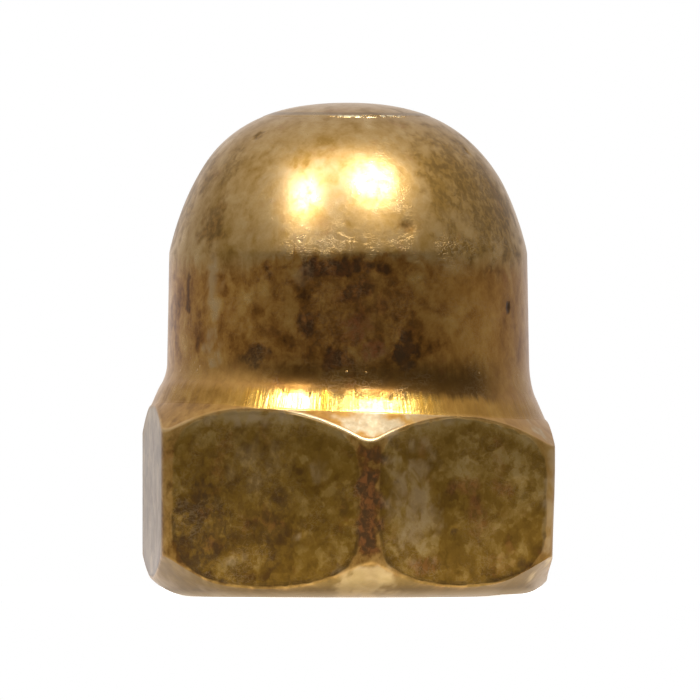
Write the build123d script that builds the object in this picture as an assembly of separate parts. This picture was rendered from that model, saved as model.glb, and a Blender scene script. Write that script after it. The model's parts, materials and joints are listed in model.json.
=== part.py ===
"""Domed cap nut in brass, for an M5 screw.

The real nut is one piece: hexagonal bar, turned to a dome with a short neck, chamfered at both
ends of the hexagon, then drilled blind and tapped from its flat seat. It is modelled the same
way: one outline is turned round the axis, the hexagonal bar trims it, and the drill and the
countersink are taken out of it. The fine thread itself is not cut here: the bore is the tapping
drill's. Millimetres, +Z up along the screw's axis, origin at the middle of the seat. Two flats
face +X and -X, and two corners point along +Y and -Y.
"""

import os
from math import radians, tan

from build123d import *

# Overall sizes
across_flats = 8.00
height = 10.00

# Hexagon: the height of its flats at their middles, and its corners' rounding and top chamfer
hex_height = 3.80
edge_round = 0.41
chamfer_angle = 45.0
chamfer_inset = 0.04

# Seat, the turned ring that bears on the work, and the rounding from it up to the corners
seat_margin = 0.90
seat_round = 1.90

# Neck, measured inwards from the flats, with the flare that runs out into the hexagon
neck_inset = 0.36
neck_draft = 1.0
flare_angle = 24.5
flare_round = 1.45

# Dome: how far its flat crown reaches out, how far its steep side reaches up, and the side's lean
dome_height = 2.96
crown_reach = 1.70
side_reach = 2.55
side_lean = 14.3

# Blind hole for the thread, with the metal left above the drill's point
thread_diameter = 5.00
thread_pitch = 0.80
drill_point_angle = 118.0
crown_wall = 1.24
mouth_clearance = 0.40
mouth_angle = 90.0

# What follows from those sizes
flat_radius = across_flats / 2
seat_radius = flat_radius - seat_margin
turned_radius = seat_radius + seat_round
neck_radius = flat_radius - neck_inset
dome_base = height - dome_height
bore_radius = (thread_diameter - thread_pitch) / 2
drill_point = bore_radius / tan(radians(drill_point_angle / 2))
bore_end = height - crown_wall - drill_point
mouth_radius = (thread_diameter + mouth_clearance) / 2
mouth_depth = (mouth_radius - bore_radius) / tan(radians(mouth_angle / 2))


def chamfer_height(radius):
    """How high the top chamfer lies at a radius. It meets the flats' middles at hex_height."""
    return hex_height + (flat_radius - radius) * tan(radians(chamfer_angle))


def neck_corner(break_radius):
    """Where the neck's slightly drafted wall would meet the flare, before their rounding."""
    draft, flare = tan(radians(neck_draft)), tan(radians(flare_angle))
    break_height = chamfer_height(break_radius)
    gap = break_radius - neck_radius - draft * (dome_base - break_height)
    rise = gap / (flare - draft)
    return break_radius - rise * flare, break_height + rise


def turned_body():
    """Everything that the lathe leaves: seat, chamfers, flare, neck and dome, all round."""
    break_radius = flat_radius - chamfer_inset
    corner = neck_corner(break_radius)
    neck_top, apex = Vector(neck_radius, dome_base), Vector(0, height)
    crown_pull = apex + Vector(crown_reach, 0)
    side_pull = neck_top + Vector(0, side_reach).rotate(Axis.Z, side_lean)
    with BuildSketch(Plane.XZ) as outline:
        with BuildLine():
            Line((0, 0), (seat_radius, 0))
            RadiusArc((seat_radius, 0), (turned_radius, seat_round), -seat_round)
            Polyline(
                (turned_radius, seat_round),
                (turned_radius, chamfer_height(turned_radius)),
                (break_radius, chamfer_height(break_radius)),
            )
            FilletPolyline(
                (break_radius, chamfer_height(break_radius)), corner, neck_top, radius=flare_round
            )
            Bezier(neck_top, side_pull, crown_pull, apex)
            Line(apex, (0, 0))
        make_face()
    return revolve(outline.sketch, Axis.Z)


def hexagonal_bar():
    """The bar that the nut is turned from, with its six upright edges rounded."""
    with BuildSketch() as section:
        RegularPolygon(flat_radius, 6, major_radius=False, rotation=30)
        fillet(section.vertices(), edge_round)
    return extrude(section.sketch, height)


def tapped_hole():
    """The drilled hole with its conical end, and the countersink at its mouth."""
    with BuildSketch(Plane.XZ) as outline:
        with BuildLine():
            Polyline(
                (0, 0),
                (mouth_radius, 0),
                (bore_radius, mouth_depth),
                (bore_radius, bore_end),
                (0, bore_end + drill_point),
                close=True,
            )
        make_face()
    return revolve(outline.sketch, Axis.Z)


cap_nut = (turned_body() & hexagonal_bar()) - tapped_hole()

os.makedirs("parts", exist_ok=True)
export_step(cap_nut, "parts/cap_nut.step")
print("bore wall, mm, from", round(mouth_depth, 3), "to", round(bore_end, 3))
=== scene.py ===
import json
import math

import bmesh
import bpy
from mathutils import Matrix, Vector, noise


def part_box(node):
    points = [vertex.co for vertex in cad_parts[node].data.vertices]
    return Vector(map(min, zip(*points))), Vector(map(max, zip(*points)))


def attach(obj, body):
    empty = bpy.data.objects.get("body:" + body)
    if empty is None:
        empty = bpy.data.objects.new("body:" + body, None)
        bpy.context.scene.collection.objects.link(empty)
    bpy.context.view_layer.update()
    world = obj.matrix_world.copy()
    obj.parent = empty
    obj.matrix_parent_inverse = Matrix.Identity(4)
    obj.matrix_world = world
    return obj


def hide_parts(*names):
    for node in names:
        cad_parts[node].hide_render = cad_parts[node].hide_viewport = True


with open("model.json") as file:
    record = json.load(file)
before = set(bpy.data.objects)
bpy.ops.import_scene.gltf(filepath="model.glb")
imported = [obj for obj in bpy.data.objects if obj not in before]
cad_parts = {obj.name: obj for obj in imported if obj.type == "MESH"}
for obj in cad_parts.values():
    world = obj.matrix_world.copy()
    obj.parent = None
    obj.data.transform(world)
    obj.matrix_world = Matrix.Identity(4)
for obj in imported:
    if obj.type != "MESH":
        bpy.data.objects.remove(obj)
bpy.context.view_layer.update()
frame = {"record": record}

# An old brass cap nut. It is made in millimetres, with its axis on Z and its seat at Z = 0, and each
# finished mesh is scaled to metres. Radii are measured from the axis, and directions go round it from +X.

MILLIMETRE = 0.001
FULL_TURN = 2 * math.pi

# Sizes that come from the frame.
lowest, highest = (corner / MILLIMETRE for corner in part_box("cap_nut"))
flat_radius = (highest.x - lowest.x) / 2
corner_radius = (highest.y - lowest.y) / 2
height = highest.z
mounts = {mount["name"]: mount for mount in frame["record"]["mounts"]}
bore_radius = mounts["thread"]["dims"]["r_mm"]

# The corners are rounded where the sharp hexagon would reach further.
HALF_SIDE = math.radians(30)
sharp_corner = flat_radius / math.cos(HALF_SIDE)
edge_round = (sharp_corner - corner_radius) / (1 / math.cos(HALF_SIDE) - 1)
edge_centre = (flat_radius - edge_round) / math.cos(HALF_SIDE)
edge_start = math.atan2(edge_centre * math.sin(HALF_SIDE), flat_radius)

# The foot of the hexagon: a flat seat, then a rounding that runs up the corners. It is wider on the left and
# tighter on the right, and it passes over to those sides between two cosines of the direction.
seat_radius = 3.36
seat_round = 1.24
foot_steepest = math.radians(45)
left_seat_radius = 3.14
left_seat_round = 1.20
right_seat_radius = 3.48
right_seat_round = 0.70
seat_sides = (0.70, 0.98)

# The round blank's foot is turned up this far, before the hexagon is pressed.
blank_foot_turn = math.radians(65)

# The top of the hexagon: a chamfer on the corners, up to a break where the flare begins.
chamfer_corner_height = 3.170
break_radius = 3.99
break_height = 3.735

# The flare, the hollow above it and the neck.
flare_top = (3.81, 4.138)
hollow_centre = (5.130, 4.739)
hollow_radius = 1.46
hollow_top = (3.670, 4.714)
neck_top = (3.628, 6.97)

# The dome, as the four control points of its curve.
side_reach = 2.32
side_lean = math.radians(13.3)
crown_reach = 1.98
dome_curve = (
    neck_top,
    (neck_top[0] - side_reach * math.sin(side_lean), neck_top[1] + side_reach * math.cos(side_lean)),
    (crown_reach, height),
    (0.0, height),
)

# A cutter left a fine step round the crown. The mesh has extra rows there, as shares of the dome's curve.
step_foot = 1.705
step_top = 1.690
step_height = 0.006
step_rows = (-0.012, -0.004, 0.0, 0.003, 0.006, 0.0095, 0.014, 0.020)

# The blind hole: drilled, tapped and countersunk.
mouth_radius = 2.70
thread_radius = 2.50
thread_pitch = 0.80
thread_end = 6.45
thread_run_out = 0.45
bore_end = 7.498
drill_point = 8.760

# Columns of the mesh round the axis, and how far they crowd towards the corners.
COLUMNS = 384
CROWDING = 0.70

# How often the edges are smoothed. Nothing is worn in the hole and this near to it, up to these heights.
WEAR_PASSES = 3
HOLE_MARGIN = 0.05
MOUTH_TOP = 1.0
BORE_MARGIN = 0.5
BORE_TOP = 8.0


def clamp(value, low=0.0, high=1.0):
    """The value, kept between two limits."""
    return max(low, min(high, value))


def ease(value, start, end):
    """Goes smoothly from 0 at start to 1 at end."""
    share = clamp((value - start) / (end - start))
    return share * share * (3 - 2 * share)


def between(start, end, share):
    """A number part of the way from start to end."""
    return start + (end - start) * share


def straight(start, end, steps, near_start=(), near_end=()):
    """Points after start, up to end, in even steps, with extra ones at given distances from either end."""
    length = math.dist(start, end)
    distances = [length * step / steps for step in range(1, steps + 1)]
    distances += near_start
    distances += [length - extra for extra in near_end]
    return [
        (between(start[0], end[0], along / length), between(start[1], end[1], along / length))
        for along in sorted(distances)
    ]


def arc(centre, radius, start, end, steps, near_end=()):
    """Points after the start angle of an arc, up to its end angle."""
    angles = [between(start, end, step / steps) for step in range(1, steps + 1)]
    angles += [end - math.copysign(extra / radius, end - start) for extra in near_end]
    angles.sort(reverse=end < start)
    return [(centre[0] + radius * math.cos(a), centre[1] + radius * math.sin(a)) for a in angles]


def dome_point(share):
    """A point of the dome's curve, from the neck at 0 to the middle of the crown at 1."""
    rest = 1 - share
    weights = (rest ** 3, 3 * rest * rest * share, 3 * rest * share * share, share ** 3)
    return tuple(sum(w * point[axis] for w, point in zip(weights, dome_curve)) for axis in (0, 1))


def dome(steps):
    """Points of the dome from the neck to its top, with extra ones round the step in the crown."""
    shares = [step / steps for step in range(1, steps + 1)]
    tries = 1000
    step_share = next(n / tries for n in range(tries) if dome_point(n / tries)[0] < step_foot)
    shares += [step_share + extra for extra in step_rows]
    points = []
    for share in sorted(shares):
        radius, z = dome_point(share)
        inside = clamp((step_foot - radius) / (step_foot - step_top))
        fade = clamp(radius / step_top) ** 2
        points.append((radius, z + step_height * inside * fade))
    return points


def foot_shape(angle):
    """Where the seat ends, and the radius of the rounding beyond it, in a direction round the axis."""
    on_left = ease(-math.cos(angle), *seat_sides)
    on_right = ease(math.cos(angle), *seat_sides)
    start = between(between(seat_radius, left_seat_radius, on_left), right_seat_radius, on_right)
    bend = between(between(seat_round, left_seat_round, on_left), right_seat_round, on_right)
    return start, bend


def foot_height(radius, start, bend):
    """Height of the rounding under the hexagon at a radius: an arc, then a straight slope."""
    across = clamp(radius - start, 0.0, bend * math.sin(foot_steepest))
    beyond = max(radius - start - across, 0.0)
    return bend - math.sqrt(bend ** 2 - across ** 2) + beyond * math.tan(foot_steepest)


def chamfer_height(radius):
    """Height of the chamfer over the hexagon at a radius."""
    slope = (break_height - chamfer_corner_height) / (corner_radius - break_radius)
    return break_height - (radius - break_radius) * slope


def side_of(angle):
    """How far a direction is turned from the middle of the nearest flat, whichever way."""
    return abs((angle + HALF_SIDE) % (2 * HALF_SIDE) - HALF_SIDE)


def hexagon_radius(angle):
    """Distance from the axis to the hexagon's side, in a direction round the axis."""
    from_flat = side_of(angle)
    if from_flat <= edge_start:
        return flat_radius / math.cos(from_flat)
    from_corner = HALF_SIDE - from_flat
    across = edge_centre * math.sin(from_corner)
    return edge_centre * math.cos(from_corner) + math.sqrt(edge_round ** 2 - across ** 2)


def inward_of_rounding(angle):
    """Distance along the side from where the corner's rounding starts, below 0 on the corner itself."""
    from_flat = side_of(angle)
    if from_flat <= edge_start:
        return flat_radius * (math.tan(edge_start) - math.tan(from_flat))
    aside = hexagon_radius(angle) * math.sin(HALF_SIDE - from_flat)
    return -edge_round * (HALF_SIDE - math.asin(clamp(aside / edge_round)))


def nut_outline():
    """Half of the nut's section, as if it were round and as wide as the hexagon's corners."""
    foot_round = (corner_radius - seat_radius) / math.sin(blank_foot_turn)
    foot_end = (corner_radius, foot_round * (1 - math.cos(blank_foot_turn)))
    side_end = (corner_radius, chamfer_corner_height)
    bend_start, bend_end = (
        math.atan2(z - hollow_centre[1], radius - hollow_centre[0]) % FULL_TURN
        for radius, z in (flare_top, hollow_top)
    )
    at_mouth = (0.02,)
    at_crease = (0.035, 0.08)
    under_chamfer = (0.03, 0.06, 0.10)
    over_side = (0.03, 0.07)
    under_dome = (0.03,)
    points = [(0.0, drill_point)]
    points += straight(points[-1], (bore_radius, bore_end), 6)
    points += straight(points[-1], (bore_radius, thread_end + thread_run_out), 3)
    points += straight(points[-1], (thread_radius, thread_end), 3)
    points += straight(points[-1], (thread_radius, mouth_radius - thread_radius), 8)
    points += straight(points[-1], (mouth_radius, 0.0), 3, near_end=at_mouth)
    points += straight(points[-1], (seat_radius, 0.0), 5, near_start=at_mouth)
    foot_bend = (-math.pi / 2, blank_foot_turn - math.pi / 2)
    points += arc((seat_radius, foot_round), foot_round, *foot_bend, 14, near_end=at_crease)
    points += straight(foot_end, side_end, 34, near_start=at_crease, near_end=under_chamfer)
    points += straight(side_end, (break_radius, break_height), 9, near_start=over_side, near_end=at_crease)
    points += straight(points[-1], flare_top, 6, near_start=at_crease)
    points += arc(hollow_centre, hollow_radius, bend_start, bend_end, 12)
    points += straight(points[-1], neck_top, 30, near_end=under_dome)
    points += dome(58)
    return points


def turn_blank():
    """Turns the outline into a round blank, closed all over."""
    blank = bmesh.new()
    corners = [blank.verts.new((radius, 0.0, z)) for radius, z in nut_outline()]
    line = [blank.edges.new(pair) for pair in zip(corners, corners[1:])]
    bmesh.ops.spin(
        blank,
        geom=corners + line,
        cent=(0, 0, 0),
        axis=(0, 0, 1),
        angle=FULL_TURN,
        steps=COLUMNS,
        use_merge=True,
    )
    bmesh.ops.remove_doubles(blank, verts=blank.verts, dist=1e-5)
    bmesh.ops.recalc_face_normals(blank, faces=blank.faces)
    return blank


def crowd(angle):
    """Moves a direction towards the nearest corner of the hexagon, to give its rounding more columns."""
    middle = round(angle / (2 * HALF_SIDE)) * 2 * HALF_SIDE
    share = (angle - middle) / HALF_SIDE
    return middle + HALF_SIDE * ((1 - CROWDING) * share + CROWDING * math.sin(share * math.pi / 2))


def round_axis(vert):
    """Where a point of a mesh is: its distance from the axis, and its direction round it."""
    return math.hypot(vert.co.x, vert.co.y), math.atan2(vert.co.y, vert.co.x)


def press_hexagon(blank):
    """Presses the flats into the lower part of the round blank, with the foot and the chamfer cut to suit.

    Each point keeps how far it is below the chamfer, above the foot and in from the rounded corner."""
    touch = 1e-4
    foot_corner = min(vert.co.z for vert in blank.verts if round_axis(vert)[0] > corner_radius - touch)
    edges = blank.verts.layers.float_vector.new("edges")
    for vert in blank.verts:
        radius, angle = round_axis(vert)
        angle = crowd(angle)
        reach = hexagon_radius(angle)
        start, bend = foot_shape(angle)
        foot_edge = foot_height(reach, start, bend)
        z = vert.co.z
        if radius > corner_radius - touch and foot_corner - touch < z < chamfer_corner_height + touch:
            share = (z - foot_corner) / (chamfer_corner_height - foot_corner)
            radius = reach
            z = between(foot_edge, chamfer_height(reach), share)
        elif radius > seat_radius - touch and z < foot_corner:
            share = (radius - seat_radius) / (corner_radius - seat_radius)
            radius = between(start, reach, share)
            z = foot_height(radius, start, bend)
        elif radius > mouth_radius and z < touch:
            radius = between(mouth_radius, start, (radius - mouth_radius) / (seat_radius - mouth_radius))
        elif radius > break_radius and z > chamfer_corner_height:
            share = (radius - break_radius) / (corner_radius - break_radius)
            radius = between(break_radius, reach, share)
            z = chamfer_height(radius)
        vert.co = (radius * math.cos(angle), radius * math.sin(angle), z)
        vert[edges] = (chamfer_height(reach) - z, z - foot_edge, inward_of_rounding(angle))


def soften_edges(nut):
    """Wears the edges of the hexagon round, a little at a time."""
    sharp = math.radians(9)
    edges = [
        vert
        for vert in nut.verts
        if max((abs(edge.calc_face_angle(0.0)) for edge in vert.link_edges), default=0.0) > sharp
        and round_axis(vert)[0] > mouth_radius + HOLE_MARGIN
    ]
    for _ in range(WEAR_PASSES):
        bmesh.ops.smooth_vert(
            nut, verts=edges, factor=0.5, use_axis_x=True, use_axis_y=True, use_axis_z=True
        )


def make_thread():
    """The ridge of the thread, one closed coil that stands in the wall of the hole."""
    ridge = bmesh.new()
    sunk = 0.03
    root = thread_radius + sunk
    half_root = thread_pitch * 0.45
    half_crest = thread_pitch * 0.09
    start = 0.05
    end = thread_end + 0.1
    lowest_ridge = 0.012
    section = [(root, -half_root), (bore_radius, -half_crest), (bore_radius, half_crest), (root, half_root)]
    corners = [ridge.verts.new((radius, 0.0, start + z)) for radius, z in section]
    face = ridge.faces.new(corners)
    steps_per_turn = 72
    steps = round((end - start) / thread_pitch * steps_per_turn)
    bmesh.ops.spin(
        ridge,
        geom=[face] + list(face.edges) + corners,
        cent=(0, 0, 0),
        axis=(0, 0, 1),
        dvec=(0, 0, thread_pitch / steps_per_turn),
        angle=FULL_TURN * steps / steps_per_turn,
        steps=steps,
        use_merge=False,
        use_duplicate=False,
    )
    # The ridge sinks into the wall at the countersink and over its last turn.
    fade = thread_pitch * 1.2
    fade_end = thread_end + 0.2
    hidden = thread_radius + 0.02
    widest = mouth_radius - 0.005
    for vert in ridge.verts:
        radius, _ = round_axis(vert)
        mouth = mouth_radius + 0.01 - max(vert.co.z, 0.0)
        faded = between(hidden, bore_radius, clamp((fade_end - vert.co.z) / fade))
        wanted = min(max(radius, mouth, faded), widest)
        vert.co.x *= wanted / radius
        vert.co.y *= wanted / radius
        vert.co.z = max(vert.co.z, lowest_ridge)
    bmesh.ops.recalc_face_normals(ridge, faces=ridge.faces)
    return ridge


# Where the real nut departs from a true one. The chamfer rises towards the left, the seat towards the right,
# and the crown lies off to the left. Each pair is the heights between which that comes in or dies away.
LEAN_TOWARDS = math.radians(-175)
CHAMFER_LEAN = 0.15
LEAN_STARTS = (1.6, 3.2)
LEAN_ENDS = (4.0, 4.9)
SEAT_LEAN = 0.024
SEAT_LEAN_ENDS = (0.3, 1.8)
CROWN_OFFSET = 0.030
OFFSET_STARTS = (8.3, 9.3)

# Slight waves in the surface: their depth, and the size and share of the broad and the close ones.
WAVINESS = 0.008
BROAD_WAVES = (0.9, 0.65)
CLOSE_WAVES = (3.1, 0.35)

# One corner of the chamfer was cut less deeply, and one corner of the hexagon narrows towards the foot. Each
# fades between two cosines of the angle from it.
HIGH_CORNER = math.radians(-150)
HIGH_CORNER_RISE = 0.07
HIGH_CORNER_FADES = (0.86, 1.0)
NARROW_CORNER = math.radians(-30)
NARROW_CORNER_DEPTH = 0.055
NARROW_CORNER_FADES = (0.90, 0.99)
NARROW_STARTS = (0.4, 2.8)
NARROW_ENDS = (0.02, 0.5)

# Dents: direction in degrees, height, radius and depth.
DENTS = (
    (-63.1, 1.32, 0.10, 0.03),
    (-96, 1.40, 0.20, 0.015),
    (-130, 0.77, 0.22, 0.02),
    (-118, 2.70, 0.40, 0.012),
    (-109, 1.19, 0.12, 0.02),
    (-40, 2.20, 0.30, 0.012),
    (-75, 7.47, 0.20, 0.02),
    (-145, 9.32, 0.12, 0.015),
    (-32, 9.01, 0.14, 0.015),
    (-33, 5.86, 0.09, 0.03),
    (25, 2.00, 0.35, 0.04),
    (110, 2.60, 0.30, 0.04),
    (160, 5.90, 0.30, 0.03),
    (70, 8.60, 0.28, 0.03),
)

# Tarnish that differs from what is round it: direction in degrees, height, half of its width and of its
# height, then how much darker, how much paler and how much redder it is.
STAINS = (
    (-101, 6.66, 1.05, 0.20, 0.80, 0.0, 0.2),
    (-109, 5.54, 0.22, 0.30, 0.75, 0.0, 0.3),
    (-111, 6.50, 0.24, 0.22, 0.0, 0.5, 0.0),
    (-93, 6.17, 0.42, 0.24, 0.65, 0.0, 0.3),
    (-94, 5.80, 1.60, 1.35, 0.30, 0.0, 0.0),
    (-93, 5.45, 0.34, 0.42, 0.35, 0.0, 0.9),
    (-88, 5.01, 0.36, 0.20, 0.1, 0.25, 0.9),
    (-77, 4.97, 0.30, 0.38, 1.0, 0.0, 0.0),
    (-127, 4.88, 0.36, 0.30, 0.75, 0.1, 0.0),
    (-98, 4.80, 0.45, 0.24, 0.70, 0.0, 0.2),
    (-86, 5.90, 0.22, 0.30, 0.5, 0.0, 0.3),
    (-144, 6.20, 0.28, 0.66, 0.0, 0.95, 0.1),
    (-144, 5.05, 0.28, 0.38, 0.0, 0.95, 0.1),
    (-158, 6.20, 0.10, 0.60, 0.55, 0.0, 0.0),
    (-33, 5.86, 0.08, 0.10, 1.0, 0.0, 0.0),
    (-147, 7.50, 0.46, 0.60, 0.45, 0.0, 0.20),
    (-55, 7.05, 0.75, 0.30, 0.50, 0.0, 0.0),
    (-40, 7.70, 0.45, 0.60, 0.35, 0.0, 0.0),
    (-75, 7.47, 0.26, 0.10, 0.60, 0.0, 0.4),
    (-145, 9.32, 0.13, 0.07, 0.70, 0.0, 0.0),
    (-32, 9.01, 0.16, 0.10, 0.70, 0.0, 0.0),
    (-104, 7.18, 1.30, 0.14, 0.0, 0.45, 0.0),
    (-124, 7.35, 0.50, 0.28, 0.0, 0.40, 0.0),
    (-116.5, 1.49, 0.36, 0.95, 0.55, 0.0, 0.0),
    (-140, 1.30, 0.66, 1.20, 0.80, 0.0, 0.0),
    (-123, 2.77, 0.60, 0.50, 0.0, 0.30, 0.0),
    (-104.7, 2.52, 0.26, 0.30, 0.0, 0.45, 0.0),
    (-97, 2.10, 0.20, 0.45, 0.40, 0.0, 0.0),
    (-129.6, 0.77, 0.28, 0.14, 0.0, 0.60, 0.0),
    (-109.3, 1.19, 0.12, 0.08, 0.0, 0.90, 0.0),
    (-77.6, 2.11, 0.60, 1.25, 0.0, 0.75, 0.0),
    (-70.9, 1.53, 0.30, 0.16, 0.0, 0.70, 0.0),
    (-59.2, 2.25, 0.50, 0.16, 0.35, 0.0, 0.50),
    (-46.9, 2.18, 0.34, 0.18, 0.35, 0.0, 0.50),
    (-54.5, 1.68, 0.24, 0.50, 0.30, 0.0, 0.45),
    (-73.9, 0.68, 0.34, 0.24, 0.35, 0.0, 0.50),
    (-63.1, 1.32, 0.09, 0.07, 1.0, 0.0, 0.0),
    (-90, 0.30, 0.60, 0.42, 0.0, 0.95, 0.0),
    (-90, 1.85, 0.30, 1.60, 1.00, 0.0, 0.50),
    (-128, 1.90, 1.70, 1.80, 0.35, 0.0, 0.0),
    (-121, 3.64, 1.00, 0.16, 0.0, 1.0, 0.0),
    (-70, 3.58, 0.60, 0.12, 0.0, 0.35, 0.0),
    (-45, 8.20, 1.20, 1.30, 0.45, 0.0, 0.0),
    (-32, 7.90, 0.90, 1.20, 0.50, 0.0, 0.0),
    (-178, 8.10, 0.90, 1.10, 0.35, 0.0, 0.0),
    (-152, 0.35, 0.60, 0.45, 0.50, 0.0, 0.0),
    (-34, 0.35, 0.60, 0.45, 0.50, 0.0, 0.0),
    (-88, 3.50, 0.62, 0.34, 0.0, 1.0, 0.0),
    (-83, 3.10, 0.25, 0.14, 0.55, 0.0, 0.0),
    (-106, 8.30, 1.15, 0.60, 0.0, 0.7, 0.0),
    (-30, 1.90, 0.26, 1.50, 0.0, 0.8, 0.0),
    (-30, 8.40, 0.60, 0.70, 0.30, 0.0, 0.0),
    (-60, 8.00, 0.40, 0.60, 0.25, 0.0, 0.0),
    (-150, 8.70, 0.45, 0.45, 0.30, 0.0, 0.0),
)

# The ragged border of a stain: size and strength of its noise, and where it fades, as shares of the stain.
RAGGED = ((3.4, 0.7), (8.0, 0.4))
STAIN_FADES = (0.55, 1.15)

# Lengths of the hexagon's upper edge with a bright burr, partly bare metal and partly a painted highlight
# where it faces the lamps: direction and half of the length in degrees, then strength. A burr fades between
# two shares of that length.
BURR_GLINTS = (
    (-101, 14.0, 0.80),
    (-87, 6.0, 0.62),
    (-150, 10.0, 0.45),
    (95, 12.0, 0.8),
)
FAINT_BURR_GLINT = 0.16
BURR_GLINT_FADES = (0.6, 1.15)

# The step in the crown gets a painted highlight over this length of it.
CROWN_GLINT_SPAN = (-80, 30.0)


def lean_top(nut):
    """Sets the chamfer, the flare, the seat and the crown slightly askew to the bar, as they were turned.

    Each point keeps the height that it had before, which tells the parts of the nut apart."""
    level = nut.verts.layers.float.new("level")
    for vert in nut.verts:
        z = vert.co.z
        vert[level] = z
        radius, angle = round_axis(vert)
        if radius < mouth_radius and z < drill_point + HOLE_MARGIN:
            continue
        held = ease(z, *LEAN_STARTS) * (1 - ease(z, *LEAN_ENDS))
        at_corner = ease(math.cos(angle - HIGH_CORNER), *HIGH_CORNER_FADES)
        rise = CHAMFER_LEAN * math.cos(angle - LEAN_TOWARDS) + HIGH_CORNER_RISE * at_corner
        vert.co.z += rise * held
        low_down = (1 - ease(z, *SEAT_LEAN_ENDS)) * ease(radius, mouth_radius, seat_radius)
        vert.co.z += SEAT_LEAN * low_down * (1 + vert.co.x / seat_radius)
        vert.co.x -= CROWN_OFFSET * ease(z, *OFFSET_STARTS)


def in_hole(radius, z):
    """Whether a point lies in the hole or at its mouth, where nothing is worn."""
    at_mouth = radius < mouth_radius + HOLE_MARGIN and z < MOUTH_TOP
    return at_mouth or radius < bore_radius + BORE_MARGIN and z < BORE_TOP


def waves(place):
    """Depth of the slight waves at a place."""
    broad_scale, broad_share = BROAD_WAVES
    close_scale, close_share = CLOSE_WAVES
    broad = noise.noise(place * broad_scale) * 0.5 + 0.5
    close = noise.noise(place * close_scale + Vector((7, 3, 1))) * 0.5 + 0.5
    return WAVINESS * (broad_share * broad + close_share * close) * ease(place.z, 0.0, 0.25)


def wear_surface(nut):
    """Slight waves, dents and a narrowed corner, all of them inwards."""
    nut.normal_update()
    places = [(math.radians(direction), z, width, depth) for direction, z, width, depth in DENTS]
    moves = []
    for vert in nut.verts:
        radius, angle = round_axis(vert)
        if in_hole(radius, vert.co.z):
            moves.append(Vector())
            continue
        depth = waves(vert.co)
        for direction, z, width, deep in places:
            middle = Vector((radius * math.cos(direction), radius * math.sin(direction), z))
            away = (vert.co - middle).length / width
            if away < 1:
                depth += deep * (1 - away * away) ** 2
        at_corner = ease(math.cos(angle - NARROW_CORNER), *NARROW_CORNER_FADES)
        low_down = (1 - ease(vert.co.z, *NARROW_STARTS)) * ease(vert.co.z, *NARROW_ENDS)
        depth += NARROW_CORNER_DEPTH * at_corner * low_down
        moves.append(-vert.normal * depth)
    for vert, move in zip(nut.verts, moves):
        vert.co += move


def along_edge(angle, direction, half_length):
    """1 near a direction round the axis, fading out at half_length degrees from it."""
    apart = (angle - math.radians(direction) + math.pi) % FULL_TURN - math.pi
    return 1 - ease(abs(math.degrees(apart)) / half_length, *BURR_GLINT_FADES)


def mark_wear(nut):
    """Stores how sharp each point is, since hands and spanners polish edges, and the strength of the painted
    highlight on the hexagon's burr and on the crown's step.
    """
    nut.normal_update()
    wear = nut.verts.layers.float.new("wear")
    burr_and_glint = nut.verts.layers.float.new("burr_and_glint")
    blunt, sharp = math.radians(4), math.radians(24)
    for vert in nut.verts:
        turns = [edge.calc_face_angle_signed(0.0) for edge in vert.link_edges]
        vert[wear] = ease(max(turns, default=0.0), blunt, sharp)
        _, angle = round_axis(vert)
        if vert.co.z > neck_top[1]:
            vert[burr_and_glint] = along_edge(angle, *CROWN_GLINT_SPAN)
            continue
        shares = [full * along_edge(angle, middle, half_length) for middle, half_length, full in BURR_GLINTS]
        vert[burr_and_glint] = max(FAINT_BURR_GLINT, *shares)


def mark_stains(nut):
    """Stores at each point how far the tarnish there is darker, paler and redder than round it."""
    layer = nut.verts.layers.float_vector.new("stains")
    places = [(math.radians(stain[0]), *stain[1:]) for stain in STAINS]
    for vert in nut.verts:
        radius, angle = round_axis(vert)
        ragged = sum(noise.noise(vert.co * scale) * strength for scale, strength in RAGGED)
        marks = Vector()
        for direction, z, half_width, half_height, darker, paler, redder in places:
            if abs(vert.co.z - z) > half_height * 1.8 or math.cos(angle - direction) < 0.5:
                continue
            aside = radius * math.sin(angle - direction) / half_width
            away = math.hypot(aside, (vert.co.z - z) / half_height) + ragged
            share = 1 - ease(away, *STAIN_FADES)
            marks = Vector(max(pair) for pair in zip(marks, Vector((darker, paler, redder)) * share))
        vert[layer] = marks


def finish_mesh(shape, name, material):
    """Turns the shape into an object at the origin, in metres, with smooth shading."""
    bmesh.ops.scale(shape, vec=(MILLIMETRE,) * 3, verts=shape.verts)
    for face in shape.faces:
        face.smooth = True
    mesh = bpy.data.meshes.new(name)
    shape.to_mesh(mesh)
    shape.free()
    mesh.materials.append(material)
    piece = bpy.data.objects.new(name, mesh)
    bpy.context.scene.collection.objects.link(piece)
    return piece


# Wiring of materials.

def join(tree, value, socket):
    """Gives a socket a number, a colour or the output of another node."""
    if isinstance(value, bpy.types.NodeSocket):
        tree.links.new(value, socket)
    else:
        socket.default_value = value


def calculate(tree, operation, first, second=0.0, third=0.0):
    """One sum on numbers."""
    node = tree.nodes.new("ShaderNodeMath")
    node.operation = operation
    for socket, value in zip(node.inputs, (first, second, third)):
        join(tree, value, socket)
    return node.outputs[0]


def product(tree, *values):
    """All the values multiplied together."""
    result = values[0]
    for value in values[1:]:
        result = calculate(tree, "MULTIPLY", result, value)
    return result


def largest(tree, *values):
    """The largest of the values."""
    result = values[0]
    for value in values[1:]:
        result = calculate(tree, "MAXIMUM", result, value)
    return result


def inverse(tree, value):
    """What is left of 1."""
    return calculate(tree, "SUBTRACT", 1.0, value)


def contrast(tree, value, strength):
    """The value with its distance from 0.5 made larger or smaller."""
    return calculate(tree, "MULTIPLY_ADD", calculate(tree, "SUBTRACT", value, 0.5), strength, 0.5)


def total(tree, *shares):
    """The sum of amounts, each given as a value and how much it counts."""
    result = 0.0
    for value, weight in shares:
        result = calculate(tree, "MULTIPLY_ADD", value, weight, result)
    return result


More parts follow.
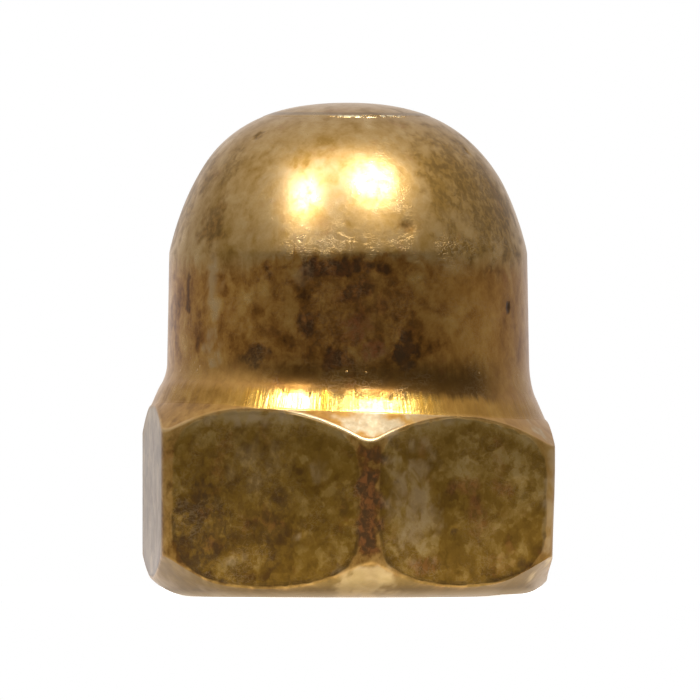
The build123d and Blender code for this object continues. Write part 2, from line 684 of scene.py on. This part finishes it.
def spread(tree, value, low, high, new_low=0.0, new_high=1.0):
    """Carries low to high smoothly over to new_low to new_high."""
    node = tree.nodes.new("ShaderNodeMapRange")
    node.interpolation_type = "SMOOTHSTEP"
    for socket, given in zip(node.inputs[:5], (value, low, high, new_low, new_high)):
        join(tree, given, socket)
    return node.outputs[0]


def line_at(tree, value, middle, half_width):
    """1 where the value is at the middle, 0 from half_width away."""
    away = calculate(tree, "ABSOLUTE", calculate(tree, "SUBTRACT", value, middle))
    return spread(tree, away, half_width, half_width * 0.35)


def separate(tree, vector):
    """The three numbers of a vector."""
    node = tree.nodes.new("ShaderNodeSeparateXYZ")
    join(tree, vector, node.inputs[0])
    return node.outputs


def stored(tree, name):
    """What a point of the mesh keeps under a name."""
    node = tree.nodes.new("ShaderNodeAttribute")
    node.attribute_name = name
    return node


def mottle(tree, place, scale, detail=4.0, roughness=0.55, distortion=0.0):
    """Cloudy grain, about 0.5 on average, with this many lumps to the millimetre."""
    node = tree.nodes.new("ShaderNodeTexNoise")
    for name, value in (
        ("Vector", place),
        ("Scale", scale),
        ("Detail", detail),
        ("Roughness", roughness),
        ("Distortion", distortion),
    ):
        join(tree, value, node.inputs[name])
    return node.outputs["Fac"]


def dabs(tree, place, scale, warp):
    """Ragged dabs side by side, each with a tone of its own, about 0.5 on average."""
    shift = tree.nodes.new("ShaderNodeTexNoise")
    for name, value in (("Vector", place), ("Scale", scale * 1.6), ("Detail", 2.0)):
        join(tree, value, shift.inputs[name])
    moved = tree.nodes.new("ShaderNodeVectorMath")
    moved.operation = "MULTIPLY_ADD"
    for socket, value in zip(moved.inputs, (shift.outputs["Color"], (warp,) * 3, place)):
        join(tree, value, socket)
    cells = tree.nodes.new("ShaderNodeTexVoronoi")
    cells.feature = "SMOOTH_F1"
    for name, value in (("Vector", moved.outputs[0]), ("Scale", scale), ("Smoothness", 0.35)):
        join(tree, value, cells.inputs[name])
    return separate(tree, cells.outputs["Color"])[0]


def facing(tree, direction, towards):
    """How directly a direction points the way given in degrees from +X: 1 along it, 0 square to it."""
    node = tree.nodes.new("ShaderNodeVectorMath")
    node.operation = "DOT_PRODUCT"
    join(tree, direction, node.inputs[0])
    node.inputs[1].default_value = (math.cos(math.radians(towards)), math.sin(math.radians(towards)), 0.0)
    return node.outputs["Value"]


def tint(tree, factor, first, second):
    """Blends two colours by a factor."""
    node = tree.nodes.new("ShaderNodeMix")
    node.data_type = "RGBA"
    join(tree, factor, node.inputs["Factor"])
    join(tree, first, node.inputs[6])
    join(tree, second, node.inputs[7])
    return node.outputs[2]


def stretch(tree, place, scale):
    """The same place on a scaled ruler."""
    node = tree.nodes.new("ShaderNodeMapping")
    join(tree, place, node.inputs["Vector"])
    node.inputs["Scale"].default_value = scale
    return node.outputs[0]


def ramp(tree, factor, stops):
    """Colours placed along a factor."""
    node = tree.nodes.new("ShaderNodeValToRGB")
    join(tree, factor, node.inputs[0])
    points = node.color_ramp.elements
    while len(points) < len(stops):
        points.new(0.5)
    for point, (position, colour) in zip(points, stops):
        point.position = position
        point.color = (*colour, 1.0)
    return node.outputs[0]


# Tarnish of each part of the nut, from its darkest to its palest, and a painted reflection for one flat.
NECK_TARNISH = (
    (0.22, (0.085, 0.034, 0.008)),
    (0.38, (0.230, 0.098, 0.019)),
    (0.50, (0.370, 0.178, 0.038)),
    (0.62, (0.475, 0.260, 0.066)),
    (0.80, (0.600, 0.380, 0.140)),
)
DOME_TARNISH = (
    (0.20, (0.160, 0.080, 0.012)),
    (0.38, (0.312, 0.177, 0.043)),
    (0.50, (0.426, 0.262, 0.093)),
    (0.62, (0.505, 0.335, 0.142)),
    (0.80, (0.620, 0.450, 0.230)),
)
FLAT_TARNISH = (
    (0.20, (0.085, 0.040, 0.007)),
    (0.38, (0.145, 0.076, 0.011)),
    (0.50, (0.192, 0.103, 0.016)),
    (0.62, (0.275, 0.165, 0.040)),
    (0.80, (0.370, 0.245, 0.090)),
)
FLARE_TARNISH = (
    (0.20, (0.300, 0.130, 0.018)),
    (0.50, (0.490, 0.260, 0.038)),
    (0.75, (0.660, 0.420, 0.112)),
)
CHAMFER_SIDE = (
    (0.20, (0.190, 0.090, 0.020)),
    (0.50, (0.400, 0.208, 0.048)),
    (0.80, (0.550, 0.320, 0.088)),
)
FOOT_TARNISH = (
    (0.20, (0.120, 0.070, 0.018)),
    (0.50, (0.195, 0.119, 0.033)),
    (0.80, (0.285, 0.186, 0.062)),
)
CHAMFER_TARNISH = (
    (0.20, (0.400, 0.302, 0.178)),
    (0.50, (0.505, 0.396, 0.238)),
    (0.70, (0.620, 0.512, 0.338)),
)
COPPER_TARNISH = (
    (0.25, (0.115, 0.048, 0.008)),
    (0.50, (0.320, 0.175, 0.045)),
    (0.75, (0.450, 0.280, 0.095)),
)
# A painted reflection: the pale lilac grey of the room, as one flat on the left mirrors it.
LILAC_REFLECTION = (
    (0.20, (0.268, 0.235, 0.214)),
    (0.50, (0.342, 0.302, 0.273)),
    (0.80, (0.425, 0.377, 0.337)),
)
RED_TARNISH = (0.250, 0.085, 0.030, 1.0)
HOLLOW_DIRT_AND_SHADE = (0.078, 0.038, 0.009, 1.0)
# Pale tarnish of the foot, also used as a painted reflection of the floor just above the seat.
PALE_FOOT_AND_FLOOR_REFLECTION = (0.400, 0.285, 0.120, 1.0)
GREY_TARNISH = (0.430, 0.305, 0.165, 1.0)
# Grime, also used for painted shade lines along the flats' borders and in the crown's step.
GRIME_AND_SHADE = (0.050, 0.027, 0.010, 1.0)
ORANGE_BRASS = (0.480, 0.270, 0.080, 1.0)
WORN_EDGE = (0.620, 0.340, 0.110, 1.0)
# Bare brass, for worn edges and for painted highlights and glints.
BARE_BRASS_AND_GLINT = (0.890, 0.745, 0.460, 1.0)

# Sides of the nut, in degrees: the flare is smoother in front, where its colour also carries a painted
# highlight, the hollow is clean on the left and on the right, the tarnish is calmer on the right, and one
# flat carries a painted pale grey reflection of the room. A pair of cosines bounds each.
FRONT_SIDE = -98
FRONT_FADES = (0.80, 0.96)
CLEAN_SIDE = -175
CLEAN = (0.45, 0.75)
RIGHT_SIDE = -10
FAR_RIGHT = (0.72, 0.92)
CALM = (0.35, 0.75)
CALMING = 0.45
REFLECTING_FLAT_SIDE = 180
REFLECTING_FLAT = (0.870, 0.884)
FLAT_REFLECTION_STRENGTH = 0.38

# Heights at which the parts of the nut pass over into each other. The dome's tarnish starts lower at the
# sides than in front.
DOME_START = (6.35, 6.80)
DOME_FULL = 6.98
SMEARS_END = (7.45, 7.05)
CROWN = (9.5, 9.6)
CLEAN_END = (5.1, 4.3)
HOLLOW_START = (3.92, 4.06)
HOLLOW_END = (5.0, 4.4)
FLARE_END = (4.18, 3.96)
CHAMFER_END = (3.735, 3.715)
RELIEF_BASE = 3.80
GLINTS_START = (4.10, 4.25)
GLINTS_END = (5.2, 4.5)
# The foot's painted reflection of the floor fades out between these heights.
SEAT_REFLECTION_HEIGHTS = (0.16, 0.02)


def old_brass():
    """Turned brass under years of tarnish: tan on the dome, brown on the neck, olive on the flats."""
    material = bpy.data.materials.new("old_brass")
    material.use_nodes = True
    tree = material.node_tree
    tree.nodes.clear()
    coordinates = tree.nodes.new("ShaderNodeTexCoord")
    place = stretch(tree, coordinates.outputs["Object"], (1 / MILLIMETRE,) * 3)
    x, y, _ = separate(tree, place)
    above, below, beside = separate(tree, stored(tree, "edges").outputs["Vector"])
    darker, paler, redder = separate(tree, stored(tree, "stains").outputs["Vector"])
    level, wear, burr_and_glint = (stored(tree, name).outputs["Fac"] for name in ("level", "wear", "burr_and_glint"))

    # Direction round the axis, for the sides of the nut and for marks left by turning.
    outward = tree.nodes.new("ShaderNodeCombineXYZ")
    join(tree, x, outward.inputs[0])
    join(tree, y, outward.inputs[1])
    heading = tree.nodes.new("ShaderNodeVectorMath")
    heading.operation = "NORMALIZE"
    join(tree, outward.outputs[0], heading.inputs[0])
    direction = heading.outputs[0]

    # Grain of the tarnish: clouds, smears, flecks, specks and dabs.
    clouds = mottle(tree, place, 0.9, 4.0, 0.55, 0.4)
    smears = mottle(tree, stretch(tree, place, (3.0, 3.0, 2.2)), 1.0, 3.0, 0.5, 0.6)
    flecks = mottle(tree, stretch(tree, place, (8.0, 8.0, 6.5)), 1.0, 3.0, 0.6, 0.5)
    specks = mottle(tree, place, 24.0, 2.0, 0.6)
    large_dabs = dabs(tree, place, 2.6, 0.35)
    small_dabs = dabs(tree, place, 6.0, 0.16)
    wobble = calculate(tree, "SUBTRACT", smears, 0.5)
    chatter = mottle(tree, stretch(tree, direction, (45.0,) * 3), 1.0, 4.0, 0.65)
    stripes = mottle(tree, stretch(tree, direction, (26.0,) * 3), 1.0, 3.0, 0.6)

    # How pale the tarnish is: on the turned parts, on the flats, on the dome and on the foot.
    turned_grain = total(
        tree,
        (clouds, 0.34),
        (smears, 0.34),
        (flecks, 0.14),
        (specks, 0.08),
        (large_dabs, 0.05),
        (small_dabs, 0.05),
    )
    tone = contrast(tree, turned_grain, 1.9)
    calm = spread(tree, facing(tree, direction, RIGHT_SIDE), *CALM)
    tone = total(
        tree,
        (tone, 1.0),
        (product(tree, calm, tone), -CALMING),
        (calm, CALMING / 2),
        (darker, -0.40),
        (paler, 0.10),
    )
    flat_grain = total(
        tree,
        (clouds, 0.34),
        (smears, 0.18),
        (flecks, 0.14),
        (specks, 0.06),
        (large_dabs, 0.16),
        (small_dabs, 0.12),
    )
    top_band = spread(tree, above, 0.40, 0.06)
    low_band = spread(tree, below, 0.60, 0.0)
    flat_tone = total(
        tree,
        (contrast(tree, flat_grain, 1.35), 1.0),
        (darker, -0.25),
        (paler, 0.10),
        (top_band, 0.20),
        (low_band, -0.14),
    )
    neck_tone = calculate(tree, "MULTIPLY_ADD", tone, 0.85, 0.08)
    dome_tone = contrast(tree, tone, 0.60)
    foot_tone = total(tree, (tone, 0.6), (darker, 0.20), (0.14, 1.0))

    # The sides of the nut.
    in_front = spread(tree, facing(tree, direction, FRONT_SIDE), *FRONT_FADES)
    to_left = spread(tree, facing(tree, direction, CLEAN_SIDE), *CLEAN)
    far_right = spread(tree, facing(tree, direction, RIGHT_SIDE), *FAR_RIGHT)
    to_right = inverse(tree, to_left)
    to_front = calculate(tree, "SUBTRACT", to_right, far_right)
    reflecting_flat_side = spread(tree, facing(tree, direction, REFLECTING_FLAT_SIDE), *REFLECTING_FLAT)

    # Which part of the nut a point is on.
    dome_start = spread(tree, in_front, 0.0, 1.0, *DOME_START)
    on_dome = spread(tree, calculate(tree, "MULTIPLY_ADD", wobble, 0.60, level), dome_start, DOME_FULL)
    ragged_level = total(tree, (level, 1.0), (wobble, 0.25), (stripes, 0.30), (0.15, -1.0))
    in_hollow = product(
        tree, spread(tree, ragged_level, *HOLLOW_START), spread(tree, ragged_level, *HOLLOW_END), to_front
    )
    on_flare = product(tree, spread(tree, ragged_level, *FLARE_END), spread(tree, level, *CHAMFER_END[::-1]))
    on_chamfer = product(tree, spread(tree, level, *CHAMFER_END), spread(tree, above, 0.0, -0.03))
    on_hexagon = spread(tree, above, -0.02, 0.02)
    on_foot = spread(tree, calculate(tree, "MULTIPLY_ADD", wobble, 0.25, below), 0.08, -0.09)
    off_foot = calculate(tree, "MULTIPLY_ADD", on_foot, -0.9, 1.0)
    corner_distance = calculate(tree, "ADD", beside, 0.05)
    panel = calculate(tree, "SMOOTH_MIN", above, below, 0.9)
    panel = calculate(tree, "SMOOTH_MIN", panel, corner_distance, 0.9)
    panel = calculate(tree, "MULTIPLY_ADD", wobble, 0.10, panel)
    inside_panel = spread(tree, panel, 0.03, 0.08)
    on_rim = product(tree, on_hexagon, inverse(tree, inside_panel))
    plain_parts = largest(tree, on_foot, on_chamfer, on_rim)

    # Tarnish of each part.
    colour = ramp(tree, neck_tone, NECK_TARNISH)
    clean_sides = calculate(tree, "MULTIPLY_ADD", far_right, 0.6, to_left)
    clean_hollow = product(tree, clean_sides, spread(tree, level, *CLEAN_END), 0.55)
    colour = tint(tree, clean_hollow, colour, ORANGE_BRASS)
    colour = tint(tree, on_dome, colour, ramp(tree, dome_tone, DOME_TARNISH))
    colour = tint(tree, on_hexagon, colour, ramp(tree, flat_tone, FLAT_TARNISH))
    colour = tint(tree, product(tree, on_rim, 0.75), colour, ramp(tree, tone, COPPER_TARNISH))
    colour = tint(tree, on_foot, colour, ramp(tree, foot_tone, FOOT_TARNISH))
    colour = tint(tree, on_chamfer, colour, ramp(tree, tone, CHAMFER_SIDE))
    # Dirt and painted shade: the hollow is darkened in front, while its sides stay clean.
    colour = tint(tree, product(tree, in_hollow, 0.90), colour, HOLLOW_DIRT_AND_SHADE)

    # Red, grey and black patches over it, the pale ones on the chamfer and the foot, and a painted
    # reflection of the floor on the foot.
    red_clouds = spread(tree, mottle(tree, place, 1.6, 4.0, 0.6, 0.5), 0.56, 0.72, 0.0, 0.40)
    reddish = largest(tree, product(tree, red_clouds, inverse(tree, on_flare)), redder)
    reddish = product(tree, reddish, spread(tree, flecks, 0.30, 0.60), 0.75)
    colour = tint(tree, reddish, colour, RED_TARNISH)
    colour = tint(tree, product(tree, paler, spread(tree, smears, 0.34, 0.62), 0.60), colour, GREY_TARNISH)
    grimy = product(tree, darker, spread(tree, flecks, 0.64, 0.40), 0.82, off_foot)
    colour = tint(tree, grimy, colour, GRIME_AND_SHADE)
    colour = tint(tree, product(tree, paler, on_chamfer), colour, ramp(tree, flecks, CHAMFER_TARNISH))
    colour = tint(tree, product(tree, paler, on_foot, 0.75), colour, PALE_FOOT_AND_FLOOR_REFLECTION)
    # Painted reflection: the foot is paler just above the seat, as if it mirrored the floor.
    painted_floor_reflection = product(tree, on_foot, spread(tree, level, *SEAT_REFLECTION_HEIGHTS), 0.5)
    colour = tint(tree, painted_floor_reflection, colour, PALE_FOOT_AND_FLOOR_REFLECTION)
    # Painted reflection: one flat on the left is tinted pale lilac grey, as if it mirrored the room.
    painted_flat_reflection = product(tree, on_hexagon, reflecting_flat_side, off_foot, FLAT_REFLECTION_STRENGTH)
    colour = tint(tree, painted_flat_reflection, colour, ramp(tree, flat_tone, LILAC_REFLECTION))

    # Greasy wisps and hair scratches, thickest just above the foot of the dome.
    wisp = 0.0
    for scale, twist, half_width in ((1.5, 2.0, 0.014), (3.1, 1.2, 0.020), (5.5, 0.8, 0.026)):
        field = mottle(tree, stretch(tree, place, (1.0, 1.0, 1.5)), scale, 2.0, 0.5, twist)
        wisp = calculate(tree, "MAXIMUM", wisp, line_at(tree, field, 0.5, half_width))
    wisp = product(tree, wisp, spread(tree, clouds, 0.40, 0.60), inverse(tree, plain_parts))
    smeared = product(tree, on_dome, spread(tree, level, *SMEARS_END), to_right)
    wisp_strength = calculate(tree, "MULTIPLY_ADD", smeared, 0.30, 0.13)
    colour = tint(tree, product(tree, wisp, wisp_strength), colour, GREY_TARNISH)

    # The flare is the brightest part, with cutter marks that fan out over it. Its colour is painted paler in
    # front as a highlight and darker at the sides as shade.
    polished_flare = product(tree, on_flare, in_front)
    flare_tone_and_highlight = total(tree, (stripes, 0.8), (tone, 0.5), (in_front, 0.22), (0.20, -1.0))
    flare_colour = ramp(tree, flare_tone_and_highlight, FLARE_TARNISH)
    flare_shaded_sides = spread(tree, in_front, 1.0, 0.0, 0.0, 0.8)
    flare_colour = tint(tree, flare_shaded_sides, flare_colour, ramp(tree, tone, CHAMFER_SIDE))
    colour = tint(tree, on_flare, colour, flare_colour)

    # Thin dark lines of dirt and painted shade along the border of each flat, darker towards the foot, and a
    # painted shade line inside the crown's step.
    border_shade = product(tree, line_at(tree, panel, 0.08, 0.07), on_hexagon)
    border_shade_strength = spread(tree, below, 1.2, 0.5, 0.15, 0.50)
    colour = tint(tree, product(tree, border_shade, spread(tree, smears, 0.38, 0.60), border_shade_strength), colour, GRIME_AND_SHADE)
    radius_squared = calculate(tree, "MULTIPLY_ADD", x, x, calculate(tree, "MULTIPLY", y, y))
    radius = calculate(tree, "SQRT", radius_squared)
    on_crown = spread(tree, level, *CROWN)
    crown_painted_shade = product(tree, line_at(tree, radius, 1.58, 0.11), on_crown)
    colour = tint(tree, product(tree, crown_painted_shade, 0.40), colour, GRIME_AND_SHADE)

    # Bright metal: worn edges and the lip of the hexagon, with painted highlights on the lip and the crown's
    # step, and painted glints on small grains in the hollow.
    lip = product(tree, line_at(tree, above, 0.0, 0.062), burr_and_glint)
    crown_line = product(tree, line_at(tree, radius, 1.70, 0.075), on_crown, burr_and_glint)
    crown_glint = product(tree, crown_line, spread(tree, flecks, 0.40, 0.54))
    grains = tree.nodes.new("ShaderNodeTexVoronoi")
    join(tree, place, grains.inputs["Vector"])
    grains.inputs["Scale"].default_value = 5.0
    grain_belt = product(tree, spread(tree, level, *GLINTS_END), spread(tree, level, *GLINTS_START))
    grain_shape = spread(tree, grains.outputs["Distance"], 0.17, 0.08)
    glints = product(tree, grain_shape, grain_belt, spread(tree, clouds, 0.50, 0.56))
    rubbed = product(tree, wear, 0.10, spread(tree, smears, 0.40, 0.60))
    shine = largest(tree, lip, crown_glint, product(tree, glints, 0.35), rubbed)
    worn_and_glinting = tint(tree, shine, WORN_EDGE, BARE_BRASS_AND_GLINT)
    colour = tint(tree, product(tree, shine, 0.85), colour, worn_and_glinting)

    roughness = total(
        tree,
        (spread(tree, tone, 0.25, 0.75, 0.34, 0.27), 1.0),
        (on_hexagon, 0.07),
        (darker, 0.08),
        (polished_flare, -0.11),
        (plain_parts, 0.06),
    )

    # Relief, in millimetres.
    over_base = calculate(tree, "SUBTRACT", level, RELIEF_BASE)
    relief = total(
        tree,
        (clouds, 0.006),
        (smears, 0.0032),
        (flecks, 0.0010),
        (specks, 0.0005),
        (wisp, -0.0006),
        (product(tree, wisp, smeared), -0.0008),
        (product(tree, flecks, on_hexagon), 0.0015),
        (product(tree, chatter, on_flare), 0.0085),
        (product(tree, polished_flare, over_base), -0.045),
        (product(tree, inside_panel, on_hexagon), -0.004),
        (lip, 0.007),
        (crown_glint, 0.030),
        (glints, 0.006),
    )
    bump = tree.nodes.new("ShaderNodeBump")
    bump.inputs["Strength"].default_value = 1.0
    bump.inputs["Distance"].default_value = MILLIMETRE
    join(tree, relief, bump.inputs["Height"])

    shader = tree.nodes.new("ShaderNodeBsdfPrincipled")
    join(tree, colour, shader.inputs["Base Color"])
    join(tree, calculate(tree, "MULTIPLY_ADD", darker, -0.1, 1.0), shader.inputs["Metallic"])
    join(tree, roughness, shader.inputs["Roughness"])
    join(tree, bump.outputs[0], shader.inputs["Normal"])
    shader.inputs["Specular Tint"].default_value = (1.0, 0.97, 0.97, 1.0)
    output = tree.nodes.new("ShaderNodeOutputMaterial")
    join(tree, shader.outputs[0], output.inputs["Surface"])
    return material


def make_nut():
    """The nut with its wear and its tarnish, and the thread in its hole."""
    shape = turn_blank()
    press_hexagon(shape)
    shape.normal_update()
    soften_edges(shape)
    lean_top(shape)
    wear_surface(shape)
    mark_wear(shape)
    mark_stains(shape)
    brass = old_brass()
    nut = finish_mesh(shape, "cap_nut_body", brass)
    thread = finish_mesh(make_thread(), "cap_nut_thread", brass)
    for piece in (nut, thread):
        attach(piece, "root")
        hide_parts("cap_nut")


# The camera looks from a little to the left of the front corner, and almost level. The last four values are
# the picture's width, its scale at the nut, the column of the axis and the row of the seat.
CAMERA_SIDE = math.radians(-5.5)
CAMERA_RISE = math.radians(0.1)
CAMERA_DISTANCE = 600.0
PIXELS = 700
PIXELS_PER_MILLIMETRE = 49.37
AXIS_PIXEL = 348.2
SEAT_PIXEL = 596.2

viewer = Vector(
    (
        math.sin(CAMERA_SIDE) * math.cos(CAMERA_RISE),
        -math.cos(CAMERA_SIDE) * math.cos(CAMERA_RISE),
        math.sin(CAMERA_RISE),
    )
)
rightward = Vector((math.cos(CAMERA_SIDE), math.sin(CAMERA_SIDE), 0.0))


def toward(side, rise):
    """A direction as the camera sees it: degrees to its right from the nut's front, and degrees up."""
    turn = CAMERA_SIDE + math.radians(side)
    lift = math.radians(rise)
    return Vector((math.sin(turn) * math.cos(lift), -math.cos(turn) * math.cos(lift), math.sin(lift)))


def place_camera():
    """Sets the camera so that the axis and the seat fall on their places in the picture."""
    lens = bpy.data.cameras.new("camera")
    lens.sensor_width = 36.0
    lens.lens = lens.sensor_width * CAMERA_DISTANCE * PIXELS_PER_MILLIMETRE / PIXELS
    camera = bpy.data.objects.new("camera", lens)
    bpy.context.scene.collection.objects.link(camera)
    aim_height = (SEAT_PIXEL - PIXELS / 2) / PIXELS_PER_MILLIMETRE
    aim_side = (PIXELS / 2 - AXIS_PIXEL) / PIXELS_PER_MILLIMETRE
    aim = Vector((0, 0, aim_height)) + rightward * aim_side
    camera.location = (aim + viewer * CAMERA_DISTANCE) * MILLIMETRE
    camera.rotation_euler = viewer.to_track_quat("Z", "Y").to_euler()
    bpy.context.scene.camera = camera


def seen(tree):
    """Whether a ray comes from the camera, and whether it comes from there or is reflected in the metal."""
    path = tree.nodes.new("ShaderNodeLightPath")
    direct = path.outputs["Is Camera Ray"]
    return direct, largest(tree, direct, path.outputs["Is Glossy Ray"])


# The floor: its radius, how far behind the nut its middle lies, what it glows and what it reflects.
FLOOR_RADIUS = 15.0
FLOOR_BACK = 5.0
FLOOR_GLOW = 0.90
FLOOR_WHITE = 0.88


def lay_floor():
    """A small round white floor, which shows the nut's shadow."""
    shape = bmesh.new()
    bmesh.ops.create_circle(shape, cap_ends=True, segments=96, radius=FLOOR_RADIUS)
    bmesh.ops.translate(shape, verts=shape.verts, vec=-viewer.xy.to_3d().normalized() * FLOOR_BACK)
    material = bpy.data.materials.new("white_floor")
    material.use_nodes = True
    tree = material.node_tree
    tree.nodes.clear()
    lit = tree.nodes.new("ShaderNodeBsdfDiffuse")
    lit.inputs["Color"].default_value = (FLOOR_WHITE, FLOOR_WHITE, FLOOR_WHITE, 1.0)
    plain = tree.nodes.new("ShaderNodeEmission")
    _, shown = seen(tree)
    join(tree, product(tree, shown, FLOOR_GLOW), plain.inputs["Strength"])
    both = tree.nodes.new("ShaderNodeAddShader")
    join(tree, lit.outputs[0], both.inputs[0])
    join(tree, plain.outputs[0], both.inputs[1])
    output = tree.nodes.new("ShaderNodeOutputMaterial")
    join(tree, both.outputs[0], output.inputs["Surface"])
    floor = finish_mesh(shape, "floor", material)


# Brightness of the room's walls, from behind the nut round to the darkest place, which is in front of it and
# this many degrees to the camera's right. The ceiling comes in between two heights. The floor gets less
# light from the room than the metal reflects.
WALLS = (
    (0.00, 1.00),
    (0.04, 0.92),
    (0.12, 0.56),
    (0.36, 0.50),
    (0.68, 0.37),
    (0.90, 0.24),
    (1.00, 0.20),
)
DARKEST_SIDE = 8.0
CEILING = 0.84
CEILING_STARTS = (0.22, 0.80)
DIMMED = 0.8


def light_room():
    """A white room round the nut, which gets darker towards the camera and has a pale ceiling."""
    world = bpy.data.worlds.new("room")
    bpy.context.scene.world = world
    world.use_nodes = True
    tree = world.node_tree
    tree.nodes.clear()
    outlook = tree.nodes.new("ShaderNodeTexCoord").outputs["Generated"]
    darkest = math.degrees(CAMERA_SIDE) + DARKEST_SIDE - 90
    in_front = calculate(tree, "MULTIPLY_ADD", facing(tree, outlook, darkest), 0.5, 0.5)
    walls = ramp(tree, in_front, [(place, (brightness,) * 3) for place, brightness in WALLS])
    overhead = spread(tree, separate(tree, outlook)[2], *CEILING_STARTS)
    room = tint(tree, overhead, walls, (CEILING, CEILING, CEILING, 1.0))
    camera_ray, shown = seen(tree)
    colour = tint(tree, camera_ray, room, (1.0, 1.0, 1.0, 1.0))
    background = tree.nodes.new("ShaderNodeBackground")
    join(tree, colour, background.inputs["Color"])
    strength = calculate(tree, "MULTIPLY_ADD", shown, 1 - DIMMED, DIMMED)
    join(tree, strength, background.inputs["Strength"])
    output = tree.nodes.new("ShaderNodeOutputWorld")
    join(tree, background.outputs[0], output.inputs["Surface"])


# Lamps: name, degrees to the right of the camera, degrees up, distance, width and depth in millimetres, and
# brightness.
LAMPS = (
    ("left_lamp", -36, 46, 90.0, 15.0, 13.0, 54.0),
    ("right_lamp", 25, 56, 90.0, 26.0, 22.0, 38.0),
    ("soft_lamp", -3, 68, 100.0, 140.0, 46.0, 1.95),
)


def hang_lamps():
    """Two small lamps in front, above the nut, and a wide dim one between them."""
    for name, side, rise, distance, width, depth, brightness in LAMPS:
        lamp = bpy.data.lights.new(name, "AREA")
        lamp.shape = "ELLIPSE"
        lamp.size = width * MILLIMETRE
        lamp.size_y = depth * MILLIMETRE
        lamp.energy = brightness * math.pi * math.pi * lamp.size * lamp.size_y / 4
        holder = bpy.data.objects.new(name, lamp)
        bpy.context.scene.collection.objects.link(holder)
        away = toward(side, rise)
        holder.location = (away * distance + Vector((0, 0, height / 2))) * MILLIMETRE
        holder.rotation_euler = away.to_track_quat("Z", "Y").to_euler()


make_nut()
lay_floor()
light_room()
hang_lamps()
place_camera()
bpy.context.scene.view_settings.view_transform = "Standard"
